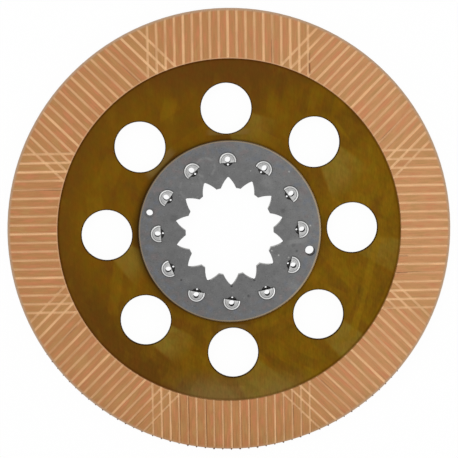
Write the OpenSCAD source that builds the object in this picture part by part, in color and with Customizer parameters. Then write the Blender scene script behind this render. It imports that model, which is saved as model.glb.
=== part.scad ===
// Wet brake disc: a thin steel core plate with a grooved paper friction lining bonded to each face,
// and a splined hub made of two plates riveted through the core.
// The disc lies flat. The origin is the middle of the bore, halfway through the core plate, and +Z is
// the disc's axis.

/* [Core plate] */
// Outside diameter of the steel core plate
core_d = 310; // [300:1:340]
// Thickness of the core plate
core_t = 2.4; // [1.6:0.1:4]
// Number of lightening holes
window_count = 8; // [3:1:10]
// Diameter of each lightening hole
window_d = 35.3; // [12:0.1:36]
// Width of bare core plate between the hub plates and each lightening hole
window_gap = 4.35; // [1:0.05:12]

/* [Friction lining] */
// Width of each friction lining, from its bore to its outer edge
lining_w = 34.2; // [20:0.1:36]
// Thickness of each friction lining
lining_t = 1.2; // [0.8:0.1:2.5]
// Width of bare steel left outside the lining
rim_w = 0.5; // [0.2:0.1:4]

/* [Oil grooves] */
// Number of sectors, each with its own set of parallel grooves
sector_count = 8; // [6:1:10]
// Distance from one groove to the next in a set
groove_pitch = 6.17; // [4:0.01:9]
// Width of a groove
groove_w = 1.5; // [0.6:0.1:3]
// Depth of a groove
groove_depth = 0.55; // [0.2:0.05:0.7]
// Sideways offset of a set's middle groove from the sector's centre line
groove_shift = 2.5; // [0:0.1:3]

/* [Hub plates] */
// Outside diameter of the hub plates
hub_d = 127.8; // [124:0.2:132]
// Thickness of each hub plate
hub_t = 2; // [1.2:0.1:4]
// Bevel round the outer edge of each hub plate
hub_bevel = 0.6; // [0.1:0.1:1]
// Diameter of the first index hole through the hub
index_hole_a_d = 4.6; // [3:0.1:7]
// Diameter of the second index hole, opposite the first
index_hole_b_d = 6.2; // [3:0.1:7]
// Distance from the hub plates' outer edge to the middle of each index hole
index_inset = 6.4; // [5:0.1:8]

/* [Spline bore] */
// Number of tooth spaces round the bore
space_count = 14; // [10:1:15]
// Diameter inside the teeth that stand into the bore
bore_minor_d = 61.6; // [58:0.1:64]
// Diameter to the bottom of the tooth spaces
bore_major_d = 76.2; // [72:0.1:80]
// Width of a tooth space where it opens into the bore
space_mouth_w = 10.6; // [8:0.1:11.5]
// Radius of the curved flanks of a tooth space
flank_r = 24; // [18:0.5:60]
// Radius of the rounded bottom of a tooth space
space_end_r = 1.05; // [0.5:0.05:2]
// How far the rounded bottom is cut into each flank, as a relief
end_relief = 0.05; // [0.03:0.01:0.1]

/* [Rivets] */
// Distance from the hub plates' outer edge to the middle of each rivet
rivet_inset = 14.6; // [13:0.1:15.5]
// Diameter of a rivet's shank
shank_d = 6.8; // [6:0.1:8]
// Radial clearance between a shank and its hole
shank_clearance = 0.05; // [0.01:0.01:0.2]
// Diameter of a rivet's head before its side is cut flat
head_d = 11.6; // [10:0.1:14]
// Height of a head at its middle
head_t = 1.3; // [1:0.1:2]
// Height of a head at its edge
head_edge_t = 0.7; // [0.4:0.1:0.9]
// Distance from a rivet's axis to the flat on its side
flat_offset = 1.15; // [0.8:0.05:1.6]
// Width of the oval bore through a rivet
oval_w = 3.8; // [2.4:0.1:4.2]
// Wall between a rivet's bore and the flat on its side
flat_wall = 0.1; // [0.05:0.05:0.5]
// Wall between a rivet's bore or vent and the outside of its shank
shank_wall = 0.15; // [0.1:0.05:0.5]
// Diameter of the small vent beside the flat
vent_d = 1.4; // [0.6:0.1:1.6]
// Distance from a head's edge to the ring pressed into it
ring_inset = 0.9; // [0.4:0.1:1.2]
// Width of the ring pressed into a head
ring_w = 0.8; // [0.3:0.1:1]
// Depth of the ring below the head's edge
ring_depth = 0.1; // [0.05:0.05:0.3]

/* [Hidden] */
// How far each rivet turned when it was set: the top one first, and on round anticlockwise
rivet_turns = [3, 14, -5, 2, -8, 18, -10, -18, 14, 5, 5, -7];
rivet_count = len(rivet_turns);
// The index holes lie on a line through the axis, halfway between two rivets
index_angle = 165;
// Cutters run this far past the faces that they cut
over = 1;
$fn = 180;

core_r = core_d / 2;
core_face_z = core_t / 2;
hub_r = hub_d / 2;
hub_face_z = core_face_z + hub_t;
window_r = window_d / 2;
window_circle_r = hub_r + window_gap + window_r;
index_circle_r = hub_r - index_inset;
rivet_circle_r = hub_r - rivet_inset;
lining_r = core_r - rim_w;
lining_bore_r = lining_r - lining_w;
// Grooves to each side of a set's middle one: as many as reach the border of the sector
side_grooves = floor(lining_r * sin(180 / sector_count) / groove_pitch);
shank_r = shank_d / 2;
head_r = head_d / 2;
head_dome_r = (head_r * head_r + pow(head_t - head_edge_t, 2)) / (2 * (head_t - head_edge_t));
rivet_top_z = hub_face_z + head_t;

// A flank's circle passes through the mouth's corner and reaches the relief's depth into the end circle
mouth_corner = [space_mouth_w / 2, sqrt(pow(bore_minor_d / 2, 2) - pow(space_mouth_w / 2, 2))];
space_end = [0, bore_major_d / 2 - space_end_r];
touching_r = space_end_r - end_relief;
flank_centre = meeting_point(mouth_corner, flank_r, space_end, flank_r - touching_r);
flank_end = space_end + touching_r * unit(space_end - flank_centre);

rivet_names = [for (i = [1 : rivet_count]) str("rivet_", i < 10 ? "0" : "", i)];

function unit(v) = v / norm(v);

// Where a circle about a meets a circle about b, to the left of the way from a to b
function meeting_point(a, a_r, b, b_r) =
    let (
        way = unit(b - a),
        along = (pow(norm(b - a), 2) + a_r * a_r - b_r * b_r) / (2 * norm(b - a)),
        aside = sqrt(a_r * a_r - along * along)
    )
    a + along * way + aside * [-way[1], way[0]];

// Copies the children to count places round the axis, the first one at the top
module around(count) {
    for (i = [0 : count - 1]) {
        rotate(i * 360 / count) children();
    }
}

// One tooth space of the bore, along +Y from the axis
module tooth_space() {
    intersection() {
        translate(flank_centre) circle(r = flank_r);
        mirror([1, 0]) translate(flank_centre) circle(r = flank_r);
        translate([-core_r, 0]) square([core_d, flank_end[1]]);
    }
    translate(space_end) circle(r = space_end_r);
}

// Everything that goes through the core plate and both hub plates alike
module hub_openings() {
    circle(d = bore_minor_d);
    around(space_count) tooth_space();
    around(rivet_count) translate([0, rivet_circle_r]) circle(r = shank_r + shank_clearance);
    rotate(index_angle) {
        translate([index_circle_r, 0]) circle(d = index_hole_a_d);
        translate([-index_circle_r, 0]) circle(d = index_hole_b_d);
    }
}

module core_plate() {
    color("darkgoldenrod")
        translate([0, 0, -core_face_z])
        linear_extrude(core_t)
        difference() {
            circle(r = core_r);
            hub_openings();
            around(window_count) translate([0, window_circle_r]) circle(r = window_r);
        }
}

// Hub plate on the front face, its outer edge bevelled
module hub_plate() {
    color("gray")
        translate([0, 0, core_face_z])
        difference() {
            union() {
                cylinder(r = hub_r, h = hub_t - hub_bevel);
                translate([0, 0, hub_t - hub_bevel])
                    cylinder(r1 = hub_r, r2 = hub_r - hub_bevel, h = hub_bevel);
            }
            translate([0, 0, -over]) linear_extrude(hub_t + 2 * over) hub_openings();
        }
}

// One set of parallel grooves, along +Y from the axis
module groove_set() {
    for (i = [-side_grooves : side_grooves]) {
        translate([groove_shift + i * groove_pitch - groove_w / 2, 0]) square([groove_w, core_r]);
    }
}

// Friction lining on the front face: the sets of grooves cross near the borders of the sectors
module friction_lining() {
    color("peru")
        translate([0, 0, core_face_z])
        difference() {
            linear_extrude(lining_t)
                difference() {
                    circle(r = lining_r);
                    circle(r = lining_bore_r);
                }
            translate([0, 0, lining_t - groove_depth])
                linear_extrude(groove_depth + over)
                around(sector_count) groove_set();
        }
}

// Head on the front face: a low dome with a ring pressed into it
module rivet_head() {
    ring_r = head_r - ring_inset;
    difference() {
        intersection() {
            cylinder(r = head_r, h = head_t);
            translate([0, 0, head_t - head_dome_r]) sphere(r = head_dome_r);
        }
        translate([0, 0, head_edge_t - ring_depth])
            linear_extrude(head_t)
            difference() {
                circle(r = ring_r);
                circle(r = ring_r - ring_w);
            }
    }
}

// Oval bore and vent, seen along the rivet's axis, with the flat towards -Y
module rivet_openings() {
    near_y = flat_wall - flat_offset + oval_w / 2;
    far_y = shank_r - shank_wall - oval_w / 2;
    translate([0, near_y]) circle(d = oval_w);
    translate([0, far_y]) circle(d = oval_w);
    translate([-oval_w / 2, near_y]) square([oval_w, far_y - near_y]);
    translate([0, vent_d / 2 + shank_wall - shank_r]) circle(d = vent_d);
}

// Hollow rivet with a head at each end, each head and the shank under it cut flat on one side
module rivet() {
    color("silver")
        difference() {
            union() {
                translate([0, 0, -hub_face_z]) cylinder(r = shank_r, h = 2 * hub_face_z);
                for (side = [0, 1]) {
                    mirror([0, 0, side]) translate([0, 0, hub_face_z]) rivet_head();
                }
            }
            for (side = [0, 1]) {
                mirror([0, 0, side])
                    translate([-head_r, -head_r - flat_offset, core_face_z])
                    cube([head_d, head_r, hub_t + head_t + over]);
            }
            translate([0, 0, -rivet_top_z - over])
                linear_extrude(2 * (rivet_top_z + over))
                rivet_openings();
        }
}

// A rivet in its place, its flat towards the bore but for the turn that it was set with
module placed_rivet(i) {
    rotate(i * 360 / rivet_count)
        translate([0, rivet_circle_r, 0])
        rotate(rivet_turns[i])
        rivet();
}

core_plate();
friction_lining();  // friction_lining_front
mirror([0, 0, 1]) friction_lining();  // friction_lining_back
hub_plate();  // hub_plate_front
mirror([0, 0, 1]) hub_plate();  // hub_plate_back
for (i = [0 : rivet_count - 1]) {
    placed_rivet(i);
}
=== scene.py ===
import math

import bmesh
import bpy
from mathutils import Matrix, Vector


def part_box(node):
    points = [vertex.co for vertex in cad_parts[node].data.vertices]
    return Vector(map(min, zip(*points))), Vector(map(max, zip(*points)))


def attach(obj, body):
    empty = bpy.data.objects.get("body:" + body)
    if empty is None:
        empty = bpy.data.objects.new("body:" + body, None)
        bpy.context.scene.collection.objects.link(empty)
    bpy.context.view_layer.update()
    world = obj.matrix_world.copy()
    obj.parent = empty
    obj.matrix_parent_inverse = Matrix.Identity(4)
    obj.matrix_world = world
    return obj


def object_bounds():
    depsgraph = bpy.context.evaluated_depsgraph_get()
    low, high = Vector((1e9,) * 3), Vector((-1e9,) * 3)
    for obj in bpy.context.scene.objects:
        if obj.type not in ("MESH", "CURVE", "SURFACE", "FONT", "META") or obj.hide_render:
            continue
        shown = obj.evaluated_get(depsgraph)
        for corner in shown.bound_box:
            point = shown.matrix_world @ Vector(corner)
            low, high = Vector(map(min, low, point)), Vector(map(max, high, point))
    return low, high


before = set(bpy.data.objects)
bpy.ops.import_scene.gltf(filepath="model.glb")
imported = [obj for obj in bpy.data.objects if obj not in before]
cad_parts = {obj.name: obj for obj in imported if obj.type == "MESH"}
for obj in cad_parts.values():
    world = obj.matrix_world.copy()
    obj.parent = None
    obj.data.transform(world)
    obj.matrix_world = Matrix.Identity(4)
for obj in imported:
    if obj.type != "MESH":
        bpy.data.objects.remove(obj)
cad_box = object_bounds()

MM = 0.001
BODY = "root"


def top_of(node):
    """Height of a piece's top face."""
    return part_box(node)[1].z / MM


def radius_of(node):
    """Outer radius of a round piece."""
    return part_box(node)[1].x / MM


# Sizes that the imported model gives
OUTER_R = radius_of("core_plate")
LINING_R = radius_of("friction_lining_front")
HUB_R = radius_of("hub_plate_front")
CORE_TOP = top_of("core_plate")
HUB_TOP = top_of("hub_plate_front")

# Sizes that its boxes don't give, the same as in the part's source
WINDOW_COUNT = 8
WINDOW_R = 17.65
WINDOW_GAP = 4.35
WINDOW_CIRCLE_R = HUB_R + WINDOW_GAP + WINDOW_R
LINING_W = 34.2
LINING_BORE_R = LINING_R - LINING_W
SECTOR_COUNT = 8
SIDE_GROOVES = 9
GROOVE_PITCH = 6.17
GROOVE_SHIFT = 2.5
GROOVE_W = 1.5
# Radius to the bottom of the tooth spaces
BORE_R = 38.1
RIVET_COUNT = 12
RIVET_INSET = 14.6
RIVET_CIRCLE_R = HUB_R - RIVET_INSET
HEAD_R = 5.8
SHANK_R = 3.4
FLAT_OFFSET = 1.15
# How far each rivet turned when it was set, in degrees: the top one first, and on round anticlockwise
RIVET_TURNS = (3, 14, -5, 2, -8, 18, -10, -18, 14, 5, 5, -7)
INDEX_INSET = 6.4
INDEX_CIRCLE_R = HUB_R - INDEX_INSET
INDEX_TURN = math.radians(165)


def linear(level):
    """Linear strength of one sRGB level."""
    share = level / 255
    return share / 12.92 if share <= 0.04045 else ((share + 0.055) / 1.055) ** 2.4


def colour(red, green, blue):
    """Linear colour of three sRGB levels."""
    return (linear(red), linear(green), linear(blue), 1.0)


class Value:
    """A number, place or colour on its way through a material's nodes. Sums and products make nodes."""

    def __init__(self, tree, socket):
        self.tree = tree
        self.socket = socket

    def math(self, operation, *others):
        """What one of Blender's operations gives for this value and others."""
        return add_node(self.tree, "Math", [self, *others], operation=operation)

    def __add__(self, other):
        return self.math("ADD", other)

    def __sub__(self, other):
        return self.math("SUBTRACT", other)

    def __mul__(self, other):
        return self.math("MULTIPLY", other)

    def __truediv__(self, other):
        return self.math("DIVIDE", other)

    __radd__ = __add__
    __rmul__ = __mul__

    def __rsub__(self, other):
        return add_node(self.tree, "Math", [other, self], operation="SUBTRACT")

    def squared(self):
        return self.math("MULTIPLY", self)

    def root(self):
        return self.math("SQRT")

    def size(self):
        """The value without its sign."""
        return self.math("ABSOLUTE")

    def larger(self, other):
        return self.math("MAXIMUM", other)

    def rise(self, start, end):
        """0 up to start and 1 from end on, with a smooth step between them, whichever is the larger."""
        inputs = [self, start, end, 0.0, 1.0]
        return add_node(self.tree, "MapRange", inputs, interpolation_type="SMOOTHSTEP")

    def near(self, middle, half_width, soft):
        """1 where the value is within half_width of middle, fading to 0 over soft beyond it."""
        return (self - middle).size().rise(half_width + soft, half_width)


def add_node(tree, kind, inputs, output=0, **settings):
    """A new shader node fed with values, numbers or colours, and its output as a Value."""
    node = tree.nodes.new("ShaderNode" + kind)
    for name, setting in settings.items():
        setattr(node, name, setting)
    pairs = inputs.items() if isinstance(inputs, dict) else enumerate(inputs)
    for key, value in pairs:
        if isinstance(value, Value):
            tree.links.new(value.socket, node.inputs[key])
        else:
            node.inputs[key].default_value = value
    return Value(tree, node.outputs[output])


class Recipe:
    """A node material and the places on the part that its recipe is worked out from."""

    def __init__(self, name, **constants):
        self.material = bpy.data.materials.new(name)
        self.material.use_nodes = True
        self.tree = self.material.node_tree
        self.shader = self.tree.nodes["Principled BSDF"]
        for socket, value in constants.items():
            self.shader.inputs[socket.replace("_", " ")].default_value = value
        metres = self.tree.nodes.new("ShaderNodeTexCoord").outputs["Object"]
        self.place = self.scaled(Value(self.tree, metres), (1 / MM, 1 / MM, 1 / MM))
        self.x, self.y, self.z = self.parts(self.place)
        self.r = (self.x.squared() + self.y.squared()).root()
        self.turn = self.y.math("ARCTAN2", self.x)
        normal = Value(self.tree, self.tree.nodes.new("ShaderNodeTexCoord").outputs["Normal"])
        # 1 on upright walls and 0 on level faces
        self.walls = self.parts(normal)[2].size().rise(0.8, 0.5)

    def scaled(self, place, factors):
        """A place with each of its three lengths times its own factor."""
        return add_node(self.tree, "VectorMath", [place, factors], operation="MULTIPLY")

    def parts(self, place):
        """The three lengths of a place, each as a Value."""
        node = self.tree.nodes.new("ShaderNodeSeparateXYZ")
        self.tree.links.new(place.socket, node.inputs[0])
        return [Value(self.tree, output) for output in node.outputs]

    def joined(self, x, y, z):
        """The place, or the colour, that three values make."""
        return add_node(self.tree, "CombineXYZ", [x, y, z])

    def noise(self, size, detail=2.0, place=None, seed=0.0):
        """Smooth random values about 0.5, in blobs as large as size, one length for each axis."""
        scaled = self.scaled(place or self.place, tuple(1 / length for length in size))
        shift = (seed, 2.3 * seed, 3.1 * seed)
        moved = add_node(self.tree, "VectorMath", [scaled, shift], operation="ADD")
        return add_node(self.tree, "TexNoise", {"Vector": moved, "Scale": 1.0, "Detail": detail})

    def mix(self, first, second, share, blend="MIX"):
        """First colour where share is 0 and second where it is 1."""
        inputs = {0: share, 6: first, 7: second}
        return add_node(self.tree, "Mix", inputs, output=2, data_type="RGBA", blend_type=blend)

    def lit(self, base, gain):
        """The colour base made lighter or darker by the factor gain."""
        grey = self.joined(gain, gain, gain)
        return self.mix(base, grey, 1.0, blend="MULTIPLY")

    def stroke(self, start, end, half_width, soft=1.5):
        """1 in a straight stroke from start to end, fading at its sides and more slowly at its ends."""
        length = math.dist(start, end)
        way = ((end[0] - start[0]) / length, (end[1] - start[1]) / length)
        dx = self.x - start[0]
        dy = self.y - start[1]
        along = dx * way[0] + dy * way[1]
        across = dy * way[0] - dx * way[1]
        sides = across.near(0.0, half_width, soft)
        ends = along.near(length / 2, length / 2 - 2 * soft, 4 * soft)
        return sides * ends

    def stroked(self, base, tone, strokes, uneven=1.0, soft=1.5):
        """The colour base with strokes of tone: start, end, half of the width and strength of each."""
        for start, end, half_width, strength in strokes:
            base = self.mix(base, tone, self.stroke(start, end, half_width, soft) * uneven * strength)
        return base

    def away(self, middle):
        """Distance from a place on the part's plane."""
        dx = self.x - middle[0]
        dy = self.y - middle[1]
        return (dx.squared() + dy.squared()).root()

    def spotted(self, base, tone, spots):
        """The colour base with soft round spots of tone: middle, radius and strength of each."""
        for middle, spot_r, strength in spots:
            base = self.mix(base, tone, self.away(middle).rise(spot_r * 1.5, spot_r * 0.4) * strength)
        return base

    def folded(self, count, circle_r):
        """Place from the nearest of count points on a circle, the first of them on +Y, and its number."""
        step = math.tau / count
        number = ((self.turn - math.pi / 2) / step).math("ROUND")
        nearest = number * step + math.pi / 2
        dx = self.x - nearest.math("COSINE") * circle_r
        dy = self.y - nearest.math("SINE") * circle_r
        return dx, dy, number

    def rivet_place(self):
        """Place on the nearest rivet: aside along its flat, ahead away from it, and out from its axis."""
        dx, dy, number = self.folded(RIVET_COUNT, RIVET_CIRCLE_R)
        heading = number * (math.tau / RIVET_COUNT)
        for rivet, turn in enumerate(RIVET_TURNS):
            here = number.math("FLOORED_MODULO", RIVET_COUNT).math("COMPARE", rivet, 0.5)
            heading = heading + here * math.radians(turn)
        aside = dx * heading.math("COSINE") + dy * heading.math("SINE")
        ahead = dy * heading.math("COSINE") - dx * heading.math("SINE")
        return aside, ahead, (dx.squared() + dy.squared()).root()

    def paint(self, base):
        """Gives the shader its colour."""
        self.tree.links.new(base.socket, self.shader.inputs["Base Color"])

    def gloss(self, roughness):
        """Gives the shader its roughness."""
        self.tree.links.new(roughness.socket, self.shader.inputs["Roughness"])

    def relief(self, height, depth):
        """Bump from a height of 0 to 1 that stands for depth in millimetres."""
        inputs = {"Strength": 1.0, "Distance": depth * MM, "Height": height}
        bump = add_node(self.tree, "Bump", inputs)
        self.tree.links.new(bump.socket, self.shader.inputs["Normal"])


# What several materials share

# Dark brown of the holes' rims, and of painted shade along edges
EDGE_BROWN = colour(40, 25, 12)
CUT_STEEL = colour(178, 178, 176)
# Near black for dark spots, and for painted shade in holes, recesses and tooth spaces
STEEL_BLACK = colour(22, 21, 20)


def cut_teeth(recipe, base):
    """The colour base with the bore's bare cut walls, and painted shade, dark, in the rounded ends of the
    tooth spaces.
    """
    base = recipe.mix(base, CUT_STEEL, recipe.walls * recipe.r.rise(BORE_R + 3, BORE_R + 1))
    return recipe.mix(base, STEEL_BLACK, recipe.walls * recipe.r.near(BORE_R, 0.6, 1.0) * 0.75)


# Varnish on the core plate

GOLDEN = colour(110, 75, 13)
OLIVE = colour(116, 83, 14)
RED_BROWN = colour(98, 62, 19)
DEEP_BROWN = colour(90, 58, 17)
PALE_OLIVE = colour(127, 102, 36)
PALE_FOOT = colour(125, 101, 54)
YELLOW_OLIVE = colour(130, 97, 17)
SEAM_BROWN = colour(80, 36, 2)
SEAM_PALE = colour(186, 138, 92)
BARE_RIM = colour(190, 165, 142)
BARE_RIM_FOOT = colour(236, 214, 190)

# Light and dark brush strokes: start, end, half of the width, strength
LIGHT_STROKES = (
    ((104, -8), (84, -78), 1.8, 0.70),
    ((66, -15), (87, -41), 3.5, 0.35),
    ((114, 30), (109, 8), 2.5, 0.40),
    ((-38, 93), (-42, 78), 4.0, 0.35),
    ((-94, 28), (-93, 12), 5.0, 0.30),
    ((33, 97), (31, 80), 3.0, 0.25),
    ((62, 97), (58, 84), 3.0, 0.25),
    ((92, 56), (99, 20), 8.0, 0.40),
    ((80, 76), (88, 66), 5.0, 0.35),
    ((-33, -84), (-31, -106), 4.0, 0.25),
    ((-84, -56), (-78, -20), 3.0, 0.30),
    ((-78, 54), (-86, 34), 6.0, 0.20),
    ((19, 68), (35, 60), 3.0, 0.30),
    ((12, -71), (31, -63), 3.0, 0.35),
    ((84, 21), (100, 18), 3.5, 0.45),
    ((105, 6), (107, -12), 4.0, 0.45),
    ((66, -44), (79, -51), 4.0, 0.35),
    ((44, -61), (28, -70), 3.5, 0.30),
    ((-39, -97), (-46, -107), 5.0, 0.30),
)
DARK_STROKES = (
    ((110, -36), (98, -62), 1.2, 0.35),
    ((92, -42), (86, -60), 1.4, 0.40),
    ((20, 108), (21, 84), 2.0, 0.45),
    ((41, 108), (36, 92), 2.5, 0.35),
    ((57, 98), (53, 80), 2.0, 0.35),
    ((73, 95), (69, 80), 3.0, 0.40),
    ((80, 82), (94, 62), 6.0, 0.45),
    ((112, 8), (114, -4), 5.0, 0.22),
    ((59, -97), (43, -90), 3.0, 0.40),
    ((44, -102), (33, -95), 2.0, 0.35),
    ((33, -97), (18, -81), 2.5, 0.40),
    ((-100, -38), (-84, -74), 5.0, 0.35),
    ((-66, -92), (-54, -101), 7.0, 0.45),
    ((-36, -112), (-26, -98), 3.0, 0.25),
    ((6, -112), (14, -118), 5.0, 0.25),
    ((-10, -106), (10, -107), 2.5, 0.30),
    ((-46, 66), (-20, 84), 8.0, 0.25),
)
# Pale strokes over the dark band of painted shade and pooled varnish against the hub
PALE_STROKES = (
    ((-55.8, 40.3), (-38.3, 57.3), 1.8, 0.50),
    ((-13, 69.5), (15, 69.5), 1.2, 0.45),
    ((-70.5, 8), (-70.5, -10), 1.2, 0.30),
    ((-9, -68.5), (10, -68.5), 1.6, 0.30),
)

# Painted pale beams of light, as if cast through the lightening holes onto the varnish, clockwise from
# the top hole. Each has the turn where its upper edge leaves the hole's rim and that edge's heading, the
# same for its lower edge, all in degrees, then its reach from the hole's middle and its strength.
HOLE_LIGHT_BEAMS = (
    (-12, -17, -85, -70, 31, 0.65),
    (-9, -38, -77, -72, 36, 0.90),
    (-23, -6, -80, -31, 40, 0.60),
    (-14, -38, -78, -51, 42, 0.85),
    (-17, -38, -88, -62, 40, 0.60),
    (-13, -30, -79, -42, 31, 0.85),
    (-24, -30, -78, -53, 33, 0.75),
    (-20, -45, -75, -45, 19, 0.70),
)


def hole_light_beam(recipe, hole):
    """How far this is inside one hole's painted beam of light, and in the darker bands along its two
    edges.
    """
    upper_start, upper_heading, lower_start, lower_heading, reach, strength = HOLE_LIGHT_BEAMS[hole]
    turn = math.pi / 2 - hole * math.tau / WINDOW_COUNT
    dx = recipe.x - WINDOW_CIRCLE_R * math.cos(turn)
    dy = recipe.y - WINDOW_CIRCLE_R * math.sin(turn)
    inside = []
    for start, heading, side in ((upper_start, upper_heading, 1), (lower_start, lower_heading, -1)):
        start, heading = math.radians(start), math.radians(heading)
        aside = (dx - WINDOW_R * math.cos(start)) * (side * math.sin(heading))
        inside.append(aside - (dy - WINDOW_R * math.sin(start)) * (side * math.cos(heading)))
    nearest_edge = inside[0].math("MINIMUM", inside[1])
    middle = math.radians((upper_heading + lower_heading) / 2)
    ahead = (dx * math.cos(middle) + dy * math.sin(middle)).rise(0, 6)
    far = (dx.squared() + dy.squared()).root().rise(reach + 10, reach - 8)
    light = nearest_edge.rise(-1.2, 1.6) * ahead * far * strength
    dark = nearest_edge.near(-4.0, 2.0, 3.0) * ahead * far * (strength * 0.4)
    return light, dark


def varnish_ground(recipe, patchy):
    """Broad fields of the varnish's colours, and smaller patches of them."""
    x, y, r = recipe.x, recipe.y, recipe.r
    base = recipe.mix(GOLDEN, OLIVE, (x * 0.8 - y * 0.4).rise(-30, 90))
    # Red brown at the top, and deep brown at the lower left and just below the hub
    base = recipe.mix(base, RED_BROWN, (y - x.size() * 0.2).rise(78, 108))
    base = recipe.mix(base, DEEP_BROWN, (x * -0.7 - y * 0.7 + r * 0.3).rise(108, 145) * 0.75)
    base = recipe.mix(base, DEEP_BROWN, y.rise(-52, -70) * (r.rise(88, 76) * 0.45))
    # Red brown along the lining's left half
    base = recipe.mix(base, RED_BROWN, r.rise(100, 119) * x.rise(20, -60) * 0.5)
    patches = recipe.noise((12, 20, 13), detail=3.0, seed=2.0)
    base = recipe.mix(base, RED_BROWN, patches.rise(0.50, 0.72) * 0.5)
    return recipe.mix(base, YELLOW_OLIVE, patches.rise(0.48, 0.28) * (patchy * 0.30 + 0.20))


def brushed(recipe, base):
    """The colour base under the painted beams of light from the holes and the strokes of the brush."""
    uneven = recipe.noise((9, 9, 9), detail=3.0, seed=14.0).rise(0.20, 0.60) * 0.6 + 0.4
    # Painted beams of light from each hole, with darker bands beside them
    for hole in range(WINDOW_COUNT):
        light, dark = hole_light_beam(recipe, hole)
        base = recipe.mix(base, RED_BROWN, dark)
        base = recipe.mix(base, PALE_OLIVE, light * uneven)
    base = recipe.stroked(base, YELLOW_OLIVE, LIGHT_STROKES, uneven)
    return recipe.stroked(base, DEEP_BROWN, DARK_STROKES, uneven)


def mottled(recipe, base, patchy, streaks, fine):
    """The colour base lighter and darker in streaks, and redder and greener in small patches."""
    x, y = recipe.x, recipe.y
    slanted = recipe.joined(x * 0.8 - y * 0.6, x * 0.6 + y * 0.8, recipe.z)
    flow = recipe.noise((14, 2.0, 4), detail=3.0, place=slanted, seed=15.0)
    broad = ((streaks - 0.5) * 0.20 + (flow - 0.5) * 0.18) * (patchy * 0.8 + 0.7)
    base = recipe.lit(base, broad + (fine - 0.5) * (patchy * 0.22 + 0.24) + 1.0)
    redder = recipe.noise((5.5, 6.5, 5), detail=1.0, seed=18.0) - 0.5
    tint = recipe.joined(redder * 0.22 + 1.0, redder * -0.22 + 1.0, 1.0)
    return recipe.mix(base, tint, 1.0, blend="MULTIPLY")


def edge_residue_and_shade(recipe, base, pale_foot):
    """The colour base with painted shade and pooled varnish by the hub, glue and painted shade by the
    lining, and dark hole rims.
    """
    x, y, r = recipe.x, recipe.y, recipe.r
    dx, dy, _ = recipe.folded(WINDOW_COUNT, WINDOW_CIRCLE_R)
    from_hole = (dx.squared() + dy.squared()).root() - WINDOW_R
    # Painted shade and pooled varnish where the hub and the holes come close
    base = recipe.mix(base, EDGE_BROWN, r.rise(72, 66) * from_hole.rise(8, 2) * 0.22)
    # The painted shade and pooled varnish against the hub are deepest and widest on the hub's left
    left = (x * -0.97 + y * 0.05).rise(5, 66)
    hub_gap = r - HUB_R
    base = recipe.mix(base, EDGE_BROWN, hub_gap.rise(1.6, 0.2) * (left * 0.2 + 0.32))
    base = recipe.mix(base, EDGE_BROWN, hub_gap.rise(5.5, 0.5) * left * 0.50)
    base = recipe.stroked(base, PALE_FOOT, PALE_STROKES)
    # The dark line along the lining's foot is glue and painted shade; it is widest and palest towards the
    # lower right
    below = (x - y).rise(-60, 150)
    lining_gap = below * -0.45 + LINING_BORE_R - 0.55 - r
    base = recipe.mix(base, SEAM_BROWN, lining_gap.near(0.1, 0.35, 0.6) * (0.34 - pale_foot * 0.14))
    base = recipe.mix(base, SEAM_PALE, r.rise(LINING_BORE_R - 0.6, LINING_BORE_R) * below * 0.8)
    return recipe.mix(base, EDGE_BROWN, from_hole.rise(0.9, 0.35) * 0.85)


def varnish():
    """Material of the core plate."""
    recipe = Recipe("golden_varnish", Specular_IOR_Level=0.0)
    x, y, r = recipe.x, recipe.y, recipe.r
    # The varnish is patchier towards the lower right, and pale at the foot
    patchy = (x - y).rise(-110, 110)
    pale_foot = y.rise(-94, -118) * (x - 4).size().rise(62, 24)
    streaks = recipe.noise((1.6, 17, 4), detail=3.0, seed=5.0)
    fine = recipe.noise((1.0, 4.2, 1), seed=9.0)
    base = recipe.mix(varnish_ground(recipe, patchy), PALE_FOOT, pale_foot * 0.75)
    base = mottled(recipe, brushed(recipe, base), patchy, streaks, fine)
    base = edge_residue_and_shade(recipe, base, pale_foot)
    # Bare steel outside the lining
    bare = recipe.mix(BARE_RIM, BARE_RIM_FOOT, (x * 0.45 - y).rise(-90, 150))
    base = recipe.mix(base, bare, r.rise(LINING_R - 0.3, LINING_R))
    recipe.paint(cut_teeth(recipe, base))
    recipe.gloss(0.46 + streaks * 0.12)
    recipe.relief(streaks * 0.6 + fine * 0.4, 0.03)
    return recipe.material


# Paper lining

LAND_LEFT = colour(179, 126, 81)
LAND_RIGHT = colour(194, 141, 96)
LAND_FOOT = colour(177, 124, 77)
LAND_RED = colour(196, 126, 88)
LAND_OCHRE = colour(178, 136, 86)
GROOVE_LIGHT = colour(234, 191, 144)
BORE_EDGE_HIGHLIGHT = colour(208, 164, 124)
LINING_DARK = colour(112, 54, 14)
LINING_WALL = colour(152, 102, 60)
LINING_RIM = colour(180, 152, 126)

# Each set's lines lean a little clockwise of its sector's middle, and meet the cut grooves halfway out
GROOVE_LEAN = math.tan(math.radians(0.55))
GROOVE_MIDDLE = 135
# Every set was cut alike: how light its grooves are, and those grooves that differ from the rest
GROOVE_LIGHTNESS = 0.66
UNUSUAL_GROOVES = {-5: 0.94, 0: 0.94, 3: 0.58, 4: 0.78, 5: 0.46, 7: 0.96, 8: 0.84}
# The sector at the foot, counted anticlockwise from +X
FOOT_SECTOR = -SECTOR_COUNT / 4
# Grooves with a thin line of painted shade along one wall: one of every set, and more, with their
# strengths, in the set at the foot
DARK_GROOVE = 5
DARK_GROOVE_STRENGTH = 0.45
DARK_FOOT_GROOVES = {-7: 0.6, -2: 0.4, 3: 0.8, 5: 0.9, 6: 0.8}
# The painted shade line's place beside its groove's middle
DARK_LINE_ASIDE = -0.65
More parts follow.
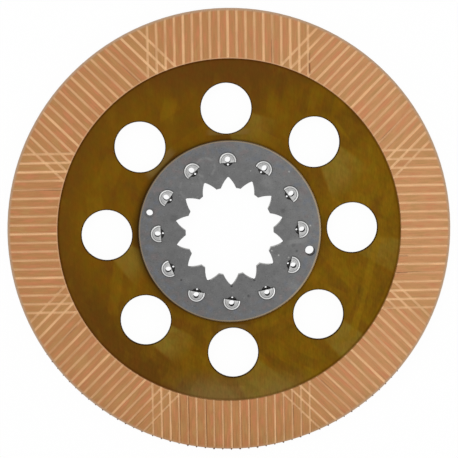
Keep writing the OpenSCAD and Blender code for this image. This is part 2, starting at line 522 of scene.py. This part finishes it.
# Short lines of painted shade along some grooves: start, end, half of the width, strength
GROOVE_SHADE_STROKES = (
    ((58.8, 122.6), (58.7, 117.2), 0.30, 0.35),
    ((58.6, 115.4), (58.6, 107.9), 0.40, 0.60),
    ((118.4, -21.1), (124.7, -21.2), 0.20, 0.40),
    ((116.4, -33.1), (124.0, -33.1), 0.20, 0.40),
    ((106.6, -57.7), (113.0, -57.5), 0.20, 0.30),
)


def set_place(recipe, sector):
    """Place across and along one sector's set of grooves, and the nearest groove's number and the place
    across that groove."""
    off_turn = recipe.turn - sector * (math.tau / SECTOR_COUNT)
    along = recipe.r * off_turn.math("COSINE")
    across = recipe.r * off_turn.math("SINE") * -1.0 - (along - GROOVE_MIDDLE) * GROOVE_LEAN
    number = ((across - GROOVE_SHIFT) / GROOVE_PITCH).math("ROUND")
    return across, along, number, across - GROOVE_SHIFT - number * GROOVE_PITCH


def groove_lines(recipe, sector, foot):
    """How light one sector's grooves are here. At the foot the lines are thinner than elsewhere."""
    _, along, number, off = set_place(recipe, sector)
    light = GROOVE_LIGHTNESS
    for groove, lightness in UNUSUAL_GROOVES.items():
        light = number.math("COMPARE", groove, 0.5) * (lightness - GROOVE_LIGHTNESS) + light
    light = light * number.size().math("LESS_THAN", SIDE_GROOVES + 0.5) * along.rise(80, 90)
    return light * off.near(foot * 0.14, GROOVE_W / 2 - 0.25 - foot * 0.15, 0.65 - foot * 0.15)


def light_lines(recipe, sector, grain_place, foot):
    """How light the grooves are here, those of the neighbouring sectors among them."""
    lines = groove_lines(recipe, sector, foot)
    for side in (-1, 1):
        lines = lines.larger(groove_lines(recipe, sector + side, foot))
    # They are uneven along their length, and plainest from the top round to the right
    worn = recipe.noise((5, 16, 1), detail=1.0, place=grain_place, seed=17.0) * 0.9 + 0.57
    plainest = (recipe.x + recipe.y).rise(0, 165) * 0.24 + 1.0
    return lines * worn * plainest


def dark_lines(recipe, sector, grain_place, foot):
    """How dark the thin lines of painted shade beside some grooves are here."""
    _, _, number, off = set_place(recipe, sector)
    inner = recipe.r.rise(148, 128)
    lines = number.math("COMPARE", DARK_GROOVE, 0.5) * inner * DARK_GROOVE_STRENGTH
    own_foot = foot * sector.math("COMPARE", FOOT_SECTOR, 0.5) * (inner * 0.4 + 0.35)
    for groove, strength in DARK_FOOT_GROOVES.items():
        lines = lines.larger(number.math("COMPARE", groove, 0.5) * own_foot * strength)
    broken = recipe.noise((3, 7, 1), place=grain_place, seed=5.0).rise(0.30, 0.50)
    return lines * off.near(DARK_LINE_ASIDE, 0.15, 0.35) * broken


def paper_ground(recipe, across, along, grain_place, foot):
    """Colours of the paper between its grooves."""
    base = recipe.mix(LAND_LEFT, LAND_RIGHT, recipe.x.rise(-40, 150))
    base = recipe.mix(base, LAND_FOOT, foot * 0.8)
    bands = recipe.noise((3.0, 11, 1), detail=2.0, place=grain_place, seed=3.0)
    base = recipe.mix(base, LAND_RED, bands.rise(0.50, 0.68) * 0.6)
    base = recipe.mix(base, LAND_OCHRE, bands.rise(0.48, 0.32) * 0.6)
    # Near the borders of the sectors, where the sets cross, the paper is a little yellower
    border = (across / along).size().rise(0.30, 0.38)
    base = recipe.mix(base, LAND_OCHRE, border * 0.35)
    return recipe.lit(base, 1.0 - recipe.r.rise(143, 153) * (0.02 + recipe.y.rise(-60, -140) * 0.06))


def lining_edges(recipe, base, foot):
    """The colour base with a painted highlight on the bore edge at the upper left, a pale outer edge and
    brown walls.
    """
    x, y, r = recipe.x, recipe.y, recipe.r
    # Painted highlight along the bore's edge at the upper left
    bore_edge_highlight = r.rise(LINING_BORE_R + 1.1, LINING_BORE_R + 0.5) * (y - x).rise(-150, 30)
    base = recipe.mix(base, BORE_EDGE_HIGHLIGHT, bore_edge_highlight * 0.5)
    base = recipe.mix(base, LINING_RIM, r.rise(LINING_R - 2.0, LINING_R - 0.3) * (0.8 - foot * 0.5))
    return recipe.mix(base, LINING_WALL, recipe.walls * r.rise(LINING_BORE_R + 1, LINING_BORE_R) * 0.8)


def paper():
    """Material of the linings. Its grain runs along the grooves, and differs from sector to sector."""
    recipe = Recipe("friction_paper", Specular_IOR_Level=0.05)
    sector = (recipe.turn / (math.tau / SECTOR_COUNT)).math("ROUND")
    across, along, _, _ = set_place(recipe, sector)
    grain_place = recipe.joined(across, along, sector * 40.0)
    foot = recipe.y.rise(-85, -140) * recipe.x.size().rise(95, 40)
    base = paper_ground(recipe, across, along, grain_place, foot)
    base = recipe.mix(base, GROOVE_LIGHT, light_lines(recipe, sector, grain_place, foot))
    base = recipe.mix(base, LINING_DARK, dark_lines(recipe, sector, grain_place, foot))
    # Short lines of painted shade along some grooves
    base = recipe.stroked(base, LINING_DARK, GROOVE_SHADE_STROKES, soft=0.4)
    fibres = recipe.noise((0.75, 13, 1), detail=3.0, place=grain_place, seed=7.0)
    grit = recipe.noise((0.8, 0.8, 0.8), detail=2.0, seed=11.0)
    base = recipe.lit(base, (fibres - 0.5) * (foot * 0.16 + 0.40) + (grit - 0.5) * 0.20 + 1.0)
    recipe.paint(lining_edges(recipe, base, foot))
    recipe.gloss(0.86 + fibres * 0.1)
    recipe.relief(fibres * 0.5 + grit * 0.5, 0.08)
    return recipe.material


# Bare steel of the hub plates

STEEL = colour(123, 123, 123)
STEEL_LIGHT = colour(152, 152, 151)
STEEL_DARK = colour(84, 84, 84)
STEEL_BLUE = colour(118, 124, 136)
STEEL_PINK = colour(136, 124, 124)
# Painted highlight on the hub's bevel, dimmer on the left and brightest on the right
BEVEL_HIGHLIGHT_DIM = colour(162, 143, 114)
BEVEL_HIGHLIGHT = colour(190, 171, 141)
STEEL_SPECK = colour(205, 205, 202)

# Marks on the hub, and two spots of painted shade: place, radius and strength of light and dark spots,
# and of two rings where another part once turned against it
LIGHT_SPOTS = (
    ((33.7, -17.7), 0.5, 0.9),
    ((40.7, -19.5), 0.6, 0.5),
    ((29.0, -14.4), 0.5, 0.7),
    ((30.6, -11.4), 0.6, 0.4),
    ((15.7, 42.0), 0.5, 0.4),
    ((42.5, 40.7), 0.6, 0.5),
    ((56.4, 2.5), 0.6, 0.6),
    ((26.7, 33.8), 3.5, 0.06),
    ((-22.0, 33.0), 3.5, 0.06),
    ((42.8, -39.0), 3.5, 0.08),
)
DARK_SPOTS_AND_SHADE = (
    ((-35.0, -33.0), 0.7, 0.6),
    ((11.7, -45.8), 0.9, 0.4),
    ((37.7, 13.5), 1.6, 0.25),
    ((-38.7, 10.8), 2.6, 0.20),
    ((46.5, -15.2), 0.9, 0.4),
    ((44.2, -10.6), 1.4, 0.25),
    # Painted shade at the ends of the two lowest tooth spaces
    ((0.1, -38.3), 0.8, 0.75),
    ((16.2, -34.6), 0.8, 0.65),
)
RUBBED_RINGS = (
    ((-15.8, 45.3), 6.5, 0.45),
    ((-25.9, 31.3), 8.0, 0.24),
)
# Long light scuff: start, end, half of the width, strength
SCUFFS = (
    ((40.5, -9.0), (52.0, -7.8), 0.8, 0.5),
)
# Painted shade in a crescent at the lower right of the second index hole, on its wall and beside it
INDEX_SHADE_PLACE = (55.9, -15.4)
INDEX_SHADE_R = 3.3
# How far from an index hole's middle the grey round it reaches, and the black painted shade on its wall
INDEX_GREY_R = 3.7
INDEX_BLACK_R = 3.8


def steel_ground(recipe, cloud):
    """Cloudy grey, lighter on the right, with faint heat tints near the outer edge."""
    x, y, r = recipe.x, recipe.y, recipe.r
    brighter = cloud.rise(0.52, 0.75) * 0.18 + (x * 0.9 + y * 0.3 + r * 0.2).rise(15, 72) * 0.24
    base = recipe.mix(STEEL, STEEL_LIGHT, brighter)
    darker = cloud.rise(0.48, 0.25) * 0.12 + (x * -0.7 - y * 0.5).rise(5, 50) * 0.12
    base = recipe.mix(base, STEEL_DARK, darker)
    tints = recipe.noise((6, 6, 6), detail=1.0, seed=4.0)
    base = recipe.mix(base, STEEL_BLUE, tints.rise(0.52, 0.66) * r.rise(45, 58) * 0.45)
    return recipe.mix(base, STEEL_PINK, tints.rise(0.48, 0.36) * r.rise(45, 58) * 0.5)


def hub_marks(recipe, base, blotches):
    """The colour base with the rubbed rings, the spots and the long scuff."""
    for middle, ring_r, strength in RUBBED_RINGS:
        rubbed = recipe.away(middle).near(ring_r, 0.3, 0.9) * blotches.rise(0.38, 0.58)
        base = recipe.mix(base, STEEL_LIGHT, rubbed * strength)
    base = recipe.spotted(base, STEEL_SPECK, LIGHT_SPOTS)
    base = recipe.spotted(base, STEEL_BLACK, DARK_SPOTS_AND_SHADE)
    return recipe.stroked(base, STEEL_LIGHT, SCUFFS)


def hub_bevel_highlight_and_edge_shade(recipe, base):
    """The colour base with a painted highlight on the bevel, brightest on the right, and painted shade on
    the edge below it, darkest towards the upper left.
    """
    x, y, r = recipe.x, recipe.y, recipe.r
    bevel_highlight = recipe.mix(BEVEL_HIGHLIGHT_DIM, BEVEL_HIGHLIGHT, x.rise(-30, 70) * 0.9)
    base = recipe.mix(base, bevel_highlight, r.rise(HUB_R - 1.6, HUB_R - 0.7) * 0.9)
    # Painted shade on the hub's outer edge
    edge_shade = r.rise(HUB_R - 0.9, HUB_R - 0.1) * (x - y * 0.4).rise(90, -40)
    return recipe.mix(base, EDGE_BROWN, edge_shade * 0.85)


def rivet_shade_and_dirt(recipe, base):
    """The colour base with painted shade and some dirt round the rivets' heads, painted shade along their
    flats, and black painted shade in the rivet holes.
    """
    aside, ahead, out = recipe.rivet_place()
    # Painted shade, with some dirt, in a ring round each head, and painted shade in a strip along its
    # flat
    beside = out.near(HEAD_R + 0.3, 0.1, 0.5) * ahead.rise(-FLAT_OFFSET - 0.6, -FLAT_OFFSET)
    within = aside.size().rise(HEAD_R + 0.2, HEAD_R - 1.0)
    below = (ahead + FLAT_OFFSET + 0.25).near(0.0, 0.2, 0.35) * within
    base = recipe.mix(base, STEEL_BLACK, (beside * 0.42).larger(below * 0.62))
    # Painted shade turns the rivet holes black
    return recipe.mix(base, STEEL_BLACK, out.rise(SHANK_R + 0.3, SHANK_R + 0.1))


def index_holes(recipe, base):
    """The colour base with painted shade by the second index hole, grey round both index holes and black
    painted shade on their walls.
    """
    # Painted shade in a crescent by the second index hole
    base = recipe.mix(base, STEEL_BLACK, recipe.away(INDEX_SHADE_PLACE).rise(INDEX_SHADE_R + 0.3, INDEX_SHADE_R) * 0.75)
    for turn in (INDEX_TURN, INDEX_TURN + math.pi):
        from_hole = recipe.away((INDEX_CIRCLE_R * math.cos(turn), INDEX_CIRCLE_R * math.sin(turn)))
        grey = from_hole.rise(INDEX_GREY_R + 0.5, INDEX_GREY_R - 0.5)
        base = recipe.mix(base, STEEL_DARK, grey * 0.35)
        # Black painted shade on the hole's wall
        black = from_hole.rise(INDEX_BLACK_R + 0.2, INDEX_BLACK_R - 0.2)
        base = recipe.mix(base, STEEL_BLACK, black * recipe.walls * 0.85)
    return base


def bare_steel():
    """Material of the hub plates."""
    recipe = Recipe("bare_steel", Metallic=1.0)
    cloud = recipe.noise((12, 12, 12), detail=3.0, seed=1.0)
    pits = recipe.noise((0.9, 0.9, 0.9), detail=1.0, seed=6.0)
    scuffs = recipe.noise((1.6, 0.8, 1), detail=2.0, seed=8.0)
    grain = recipe.noise((0.5, 0.5, 0.5), detail=3.0, seed=12.0)
    blotches = recipe.noise((4.5, 4.5, 4.5), detail=4.0, seed=16.0)
    base = steel_ground(recipe, cloud)
    base = recipe.mix(base, STEEL_DARK, pits.rise(0.64, 0.72) * 0.5)
    base = recipe.mix(base, STEEL_LIGHT, scuffs.rise(0.62, 0.72) * 0.6)
    base = recipe.lit(base, 0.66 + grain * 0.30 + blotches * 0.38)
    base = hub_marks(recipe, base, blotches)
    base = hub_bevel_highlight_and_edge_shade(recipe, cut_teeth(recipe, base))
    recipe.paint(index_holes(recipe, rivet_shade_and_dirt(recipe, base)))
    recipe.gloss(0.46 + cloud * 0.1 + scuffs * 0.06)
    recipe.relief(grain * 0.6 + scuffs * 0.4, 0.02)
    return recipe.material


# Plated rivets

PLATE = colour(210, 210, 209)
PLATE_BRIGHT = colour(236, 236, 234)
PLATE_WHITE = colour(255, 255, 254)
PLATE_DIM = colour(150, 150, 150)
RECESS_SHADE = colour(78, 77, 76)

# Rings of painted shade on a head: radius, half of the width, strength
RING_SHADES = (
    (4.7, 0.15, 0.8),
    (3.4, 0.1, 0.45),
)
# The painted highlight ring's distance from a head's edge
HIGHLIGHT_RING_INSET = 0.45
# Middles of the painted highlights behind the flat: ahead of a rivet's axis, and aside of it on both
# sides
HIGHLIGHT_AHEAD = -0.5
HIGHLIGHT_ASIDE = 3.2


def plated():
    """Material of the rivets."""
    recipe = Recipe("plated_rivet", Metallic=1.0)
    aside, ahead, out = recipe.rivet_place()
    smear = recipe.noise((1.4, 1.4, 1.4), detail=3.0, seed=3.0)
    base = recipe.mix(PLATE, PLATE_DIM, smear.rise(0.45, 0.75) * 0.5)
    # Painted shade in the rings of the head
    for ring_r, half_width, strength in RING_SHADES:
        base = recipe.mix(base, PLATE_DIM, out.near(ring_r, half_width, 0.25) * strength)
    # Painted highlight ring near the head's edge, whitest on the lower rivets
    ring_highlight = recipe.mix(PLATE_BRIGHT, PLATE_WHITE, recipe.y.rise(20, -45))
    base = recipe.mix(base, ring_highlight, out.near(HEAD_R - HIGHLIGHT_RING_INSET, 0.15, 0.25))
    # Painted highlights on both sides of the bore, just behind the flat
    flat_edge_highlights = ahead.near(HIGHLIGHT_AHEAD, 0.3, 0.5) * aside.size().near(HIGHLIGHT_ASIDE, 1.0, 0.6)
    base = recipe.mix(base, PLATE_BRIGHT, flat_edge_highlights * smear.rise(0.35, 0.55) * 0.7)
    base = recipe.mix(base, PLATE_DIM, out.rise(HEAD_R - 0.15, HEAD_R))
    # Painted shade on the step beside the flat, level with the hub plate, and black painted shade on the
    # walls inside the rivet
    base = recipe.mix(base, RECESS_SHADE, recipe.z.size().rise(HUB_TOP + 0.1, HUB_TOP - 0.1))
    inside = recipe.walls * out.rise(SHANK_R + 0.3, SHANK_R)
    base = recipe.mix(base, STEEL_BLACK, inside * 0.94)
    recipe.paint(base)
    recipe.gloss(0.30 + smear * 0.2 + inside * 0.5)
    recipe.relief(smear, 0.04)
    return recipe.material


# Glue that squeezed out at the ends of the grooves, along the lower edge

BEAD_BROWN = colour(70, 52, 38)
# Clockwise turns from the top between which the beads lie
BEADS_FROM = math.radians(131)
BEADS_TO = math.radians(238)
BEAD_R = 0.62
# A bead's place: to the side of its groove's middle, in from the disc's edge, and above the core plate
BEAD_ASIDE = 0.8
BEAD_INSET = 0.1
BEAD_RAISED = 0.45
# How much smaller the last bead is than the one at the bottom, and how far neighbours differ: in size, as
# a share, and in height
BEAD_SHRINK = 0.5
BEAD_SIZE_SPREAD = 0.18
BEAD_HEIGHT_SPREAD = 0.15


def glue_look():
    """Material of the beads."""
    recipe = Recipe("dark_glue", Specular_IOR_Level=0.3)
    tone = recipe.noise((0.6, 0.6, 0.6), detail=2.0)
    recipe.paint(recipe.lit(recipe.mix(BEAD_BROWN, LINING_DARK, tone), 0.8 + tone * 0.4))
    recipe.gloss(0.5 + tone * 0.2)
    recipe.relief(tone, 0.1)
    return recipe.material


def groove_ends():
    """A bead's place at each groove's outer end, with its clockwise turn from the top."""
    for sector in range(SECTOR_COUNT):
        middle = sector * math.tau / SECTOR_COUNT
        for number in range(-SIDE_GROOVES, SIDE_GROOVES + 1):
            aside = GROOVE_SHIFT + number * GROOVE_PITCH + BEAD_ASIDE
            turn = middle + math.asin(aside / OUTER_R)
            if abs(turn - middle) < math.pi / SECTOR_COUNT:
                yield Vector((math.sin(turn), math.cos(turn), 0)) * (OUTER_R - BEAD_INSET), turn


def glue_beads(name, side):
    """The beads on one face as one mesh; side is 1 for the front and -1 for the back. They are smaller
    away from the bottom, and neighbours differ a little in size and height."""
    beads = bmesh.new()
    for number, (place, turn) in enumerate(groove_ends()):
        if not BEADS_FROM < turn < BEADS_TO:
            continue
        strength = 1 - BEAD_SHRINK * abs(turn - math.pi) / (BEADS_TO - math.pi)
        size = BEAD_R * strength * (1 + BEAD_SIZE_SPREAD * math.sin(2.4 * number))
        height = side * (CORE_TOP + BEAD_RAISED + BEAD_HEIGHT_SPREAD * math.sin(1.7 * number))
        shape = Matrix.Translation((place + Vector((0, 0, height))) * MM)
        shape @= Matrix.Rotation(-turn, 4, "Z")
        shape @= Matrix.Diagonal((size * MM, 1.1 * size * MM, 0.9 * size * MM, 1))
        bmesh.ops.create_icosphere(beads, subdivisions=2, radius=1.0, matrix=shape)
    mesh = bpy.data.meshes.new(name)
    beads.to_mesh(mesh)
    beads.free()
    mesh.shade_smooth()
    piece = bpy.data.objects.new(name, mesh)
    bpy.context.scene.collection.objects.link(piece)
    return piece


looks = {
    "core_plate": varnish(),
    "friction_lining": paper(),
    "hub_plate": bare_steel(),
    "rivet": plated(),
}
for node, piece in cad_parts.items():
    look = next(material for start, material in looks.items() if node.startswith(start))
    for slot in piece.material_slots:
        slot.material = look

glue = glue_look()
for name, side in (("glue_beads_front", 1), ("glue_beads_back", -1)):
    piece = glue_beads(name, side)
    piece.data.materials.append(glue)
    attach(piece, BODY)


# Floor, light and camera

FLOOR_HALF = 3000
FLOOR_WHITE = (0.9, 0.9, 0.9, 1.0)
FLOOR_GLOW = 0.965


def floor():
    """Pale floor under the disc: white in the picture and in reflections, but for the disc's shadow."""
    half = FLOOR_HALF * MM
    level = cad_box[0].z
    mesh = bpy.data.meshes.new("floor")
    corners = [(-half, -half, level), (half, -half, level), (half, half, level), (-half, half, level)]
    mesh.from_pydata(corners, [], [(0, 1, 2, 3)])
    material = bpy.data.materials.new("pale_floor")
    material.use_nodes = True
    tree = material.node_tree
    tree.nodes.clear()
    path = tree.nodes.new("ShaderNodeLightPath")
    seen = Value(tree, path.outputs["Is Camera Ray"])
    for ray in ("Is Glossy Ray", "Is Transmission Ray"):
        seen = seen.larger(Value(tree, path.outputs[ray]))
    matt = add_node(tree, "BsdfDiffuse", {"Color": FLOOR_WHITE})
    glow = add_node(tree, "Emission", {"Strength": 1.0})
    shown = add_node(tree, "MixShader", [seen * FLOOR_GLOW, matt, glow])
    output = tree.nodes.new("ShaderNodeOutputMaterial")
    tree.links.new(shown.socket, output.inputs["Surface"])
    mesh.materials.append(material)
    piece = bpy.data.objects.new("floor", mesh)
    bpy.context.scene.collection.objects.link(piece)


SKY_HORIZON = (1.0, 1.0, 1.0, 1.0)
SKY_ZENITH = (0.64, 0.64, 0.64, 1.0)
# Heights on the sky, 0 at the horizon and 1 overhead, between which it turns from one to the other
SKY_TURNS_FROM = 0.15
SKY_TURNS_TO = 0.9
SKY_STRENGTH = 1.0


def sky():
    """Even studio light, whitest near the horizon."""
    world = bpy.data.worlds.new("studio")
    world.use_nodes = True
    bpy.context.scene.world = world
    tree = world.node_tree
    way = tree.nodes.new("ShaderNodeTexCoord").outputs["Generated"]
    split = tree.nodes.new("ShaderNodeSeparateXYZ")
    tree.links.new(way, split.inputs[0])
    height = Value(tree, split.outputs["Z"]).rise(SKY_TURNS_FROM, SKY_TURNS_TO)
    inputs = {0: height, 6: SKY_HORIZON, 7: SKY_ZENITH}
    shade = add_node(tree, "Mix", inputs, output=2, data_type="RGBA")
    background = tree.nodes["Background"]
    tree.links.new(shade.socket, background.inputs["Color"])
    background.inputs["Strength"].default_value = SKY_STRENGTH


# Soft lamps: name, place, width, watts
LAMPS = (
    ("key", (-700, 800, 1100), 700, 5.5),
    ("fill", (900, -300, 900), 900, 2.6),
)


def lamp(name, place, width, watts):
    """Soft square lamp that points at the disc's middle."""
    light = bpy.data.lights.new(name, "AREA")
    light.size = width * MM
    light.energy = watts
    holder = bpy.data.objects.new(name, light)
    holder.location = Vector(place) * MM
    holder.rotation_euler = (-Vector(place)).to_track_quat("-Z", "Y").to_euler()
    bpy.context.scene.collection.objects.link(holder)


CAMERA_PLACE = Vector((-27.204, 107.321, 1083.896))
CAMERA_AIM = Vector((-0.466, 1.637, 1.2))
CAMERA_ROLL = math.radians(-1.686)
CAMERA_LENS = 122.258
CAMERA_SENSOR = 36


def camera():
    """Camera above the disc, a little towards its top, with +Y up in the picture but for a small roll."""
    back = (CAMERA_PLACE - CAMERA_AIM).normalized()
    right = Vector((0, 1, 0)).cross(back).normalized()
    up = back.cross(right)
    basis = Matrix((right, up, back)).transposed() @ Matrix.Rotation(CAMERA_ROLL, 3, "Z")
    data = bpy.data.cameras.new("camera")
    data.sensor_width = CAMERA_SENSOR
    data.lens = CAMERA_LENS
    holder = bpy.data.objects.new("camera", data)
    holder.matrix_world = Matrix.Translation(CAMERA_PLACE * MM) @ basis.to_4x4()
    bpy.context.scene.collection.objects.link(holder)
    bpy.context.scene.camera = holder


floor()
sky()
for name, place, width, watts in LAMPS:
    lamp(name, place, width, watts)
camera()
bpy.context.scene.view_settings.view_transform = "Standard"
